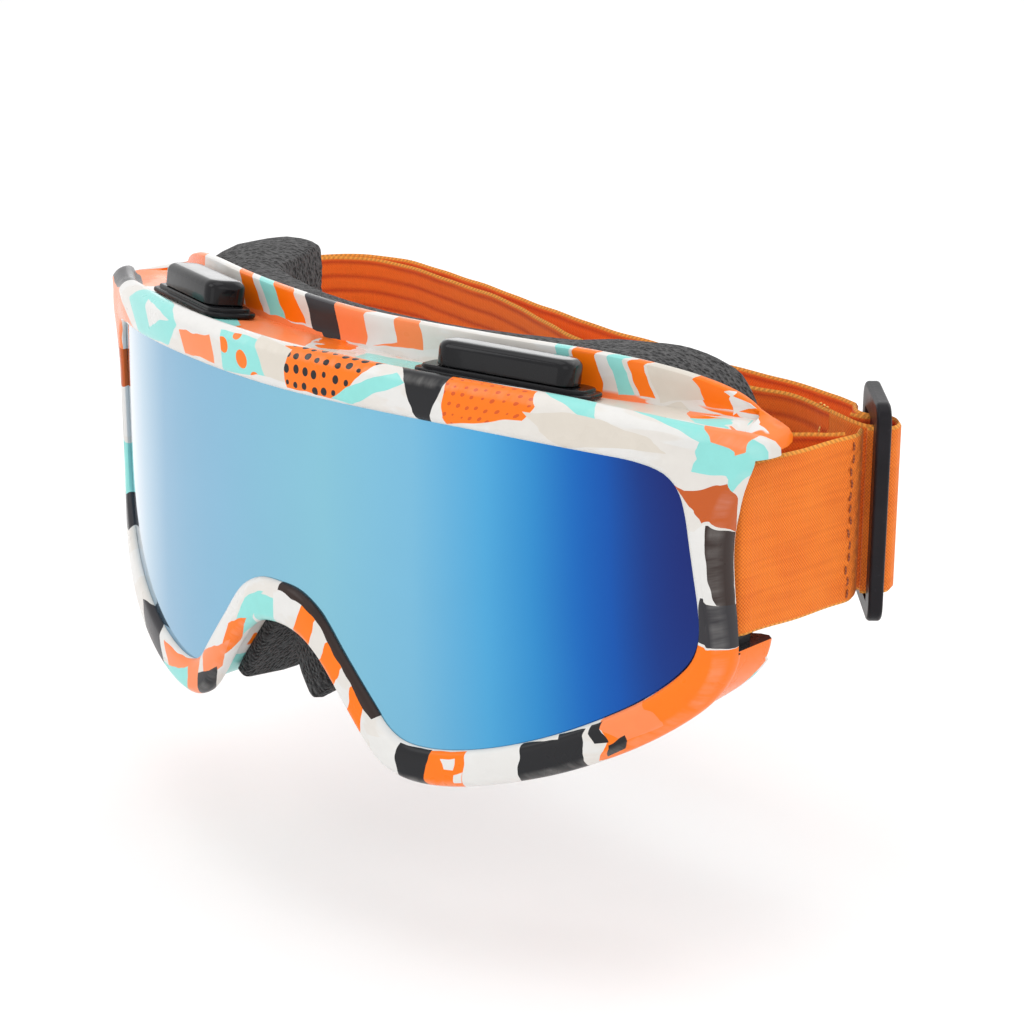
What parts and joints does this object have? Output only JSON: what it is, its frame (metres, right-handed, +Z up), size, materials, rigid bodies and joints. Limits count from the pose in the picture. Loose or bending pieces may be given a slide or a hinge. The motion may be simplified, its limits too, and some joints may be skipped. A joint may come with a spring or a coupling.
{
  "type": "ski goggles",
  "caption": "Ski goggles: curved mirrored lens in a moulded patchwork-print frame, face foam, raised top vent covers and a webbing strap with a sliding adjuster.",
  "frame": {"origin": "middle of the face seal, where the foam meets the brow and nose, on the centre plane at the lens centre's height", "axes": "+Z up as worn, +Y towards the back of the head, +X to the wearer's left; the lens looks along -Y"},
  "size_m": [0.1955, 0.1156, 0.09],
  "materials": {
    "shell_print": "glossy moulded plastic with an abstract patchwork print in orange, white, mint, salmon and dark grey",
    "lens_mirror": "blue mirror coating on a dark lens",
    "lens_clear": "clear anti-fog inner lens",
    "foam_light": "closed-cell spacer foam",
    "foam_dark": "dark grey speckled open-cell foam",
    "black_gloss": "glossy black moulded",
    "black_satin": "satin black moulded",
    "webbing": "fine woven elastic webbing, light orange outside, ribbed red-orange inside",
    "thread": "gold-orange sewing thread"
  },
  "bodies": {
    "goggle_body": {"frame": "shell_print", "lens_outer": "lens_mirror", "lens_spacer": "foam_light", "lens_inner": "lens_clear", "vent_base_left": "black_gloss", "vent_base_right": "black_gloss", "vent_foam_left": "foam_dark", "vent_foam_right": "foam_dark", "face_foam": "foam_dark", "nose_foam": "foam_dark", "strap_front": "webbing", "strap_fold_right": "webbing", "strap_outer": "webbing", "strap_inner": "webbing", "strap_fold_left": "webbing", "stitch_right": "thread", "stitch_loop": "thread"},
    "adjuster": {"slider": "black_satin", "strap_turn": "webbing", "strap_end_loop": "webbing"},
    "vent_cover_left": {"vent_cap_left": "black_gloss"},
    "vent_cover_right": {"vent_cap_right": "black_gloss"}
  },
  "joints": [
    {"name": "adjuster_slide", "type": "slide", "parent": "goggle_body", "child": "adjuster", "axis": [0.05, 0.9987, 0], "range_m": [0, 0.012]},
    {"name": "vent_cover_left_lift", "type": "slide", "parent": "goggle_body", "child": "vent_cover_left", "axis": [0, 0.158, 0.9874], "range_m": [0, 0.01]},
    {"name": "vent_cover_right_lift", "type": "slide", "parent": "goggle_body", "child": "vent_cover_right", "axis": [0, 0.158, 0.9874], "range_m": [0, 0.01]}
  ]
}
